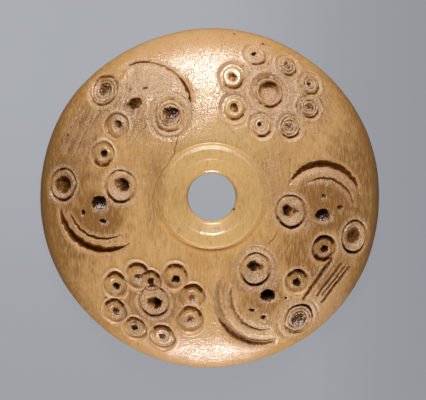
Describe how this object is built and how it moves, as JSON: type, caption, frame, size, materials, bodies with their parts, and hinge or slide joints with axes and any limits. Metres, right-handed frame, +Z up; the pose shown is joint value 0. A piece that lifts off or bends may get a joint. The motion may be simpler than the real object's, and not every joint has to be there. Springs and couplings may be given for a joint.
{
  "type": "bone spindle whorl",
  "caption": "Domed bone disc with a bored collar for a hand spindle, its upper face carved with ring-and-dot marks, crescents and two rosettes.",
  "frame": {"origin": "middle of the flat underside, which lies on the surface", "axes": "+Z up out of the domed, carved face; +Y along the grain of the bone, towards the bearing half way between one face motif and the upper rosette; +X to the right of that, seen from above"},
  "size_m": [0.0459, 0.0461, 0.0096],
  "materials": {
    "bone": "satin, handled old bone with brown residue in its carving"
  },
  "bodies": {
    "root": {"whorl": "bone"}
  },
  "joints": []
}
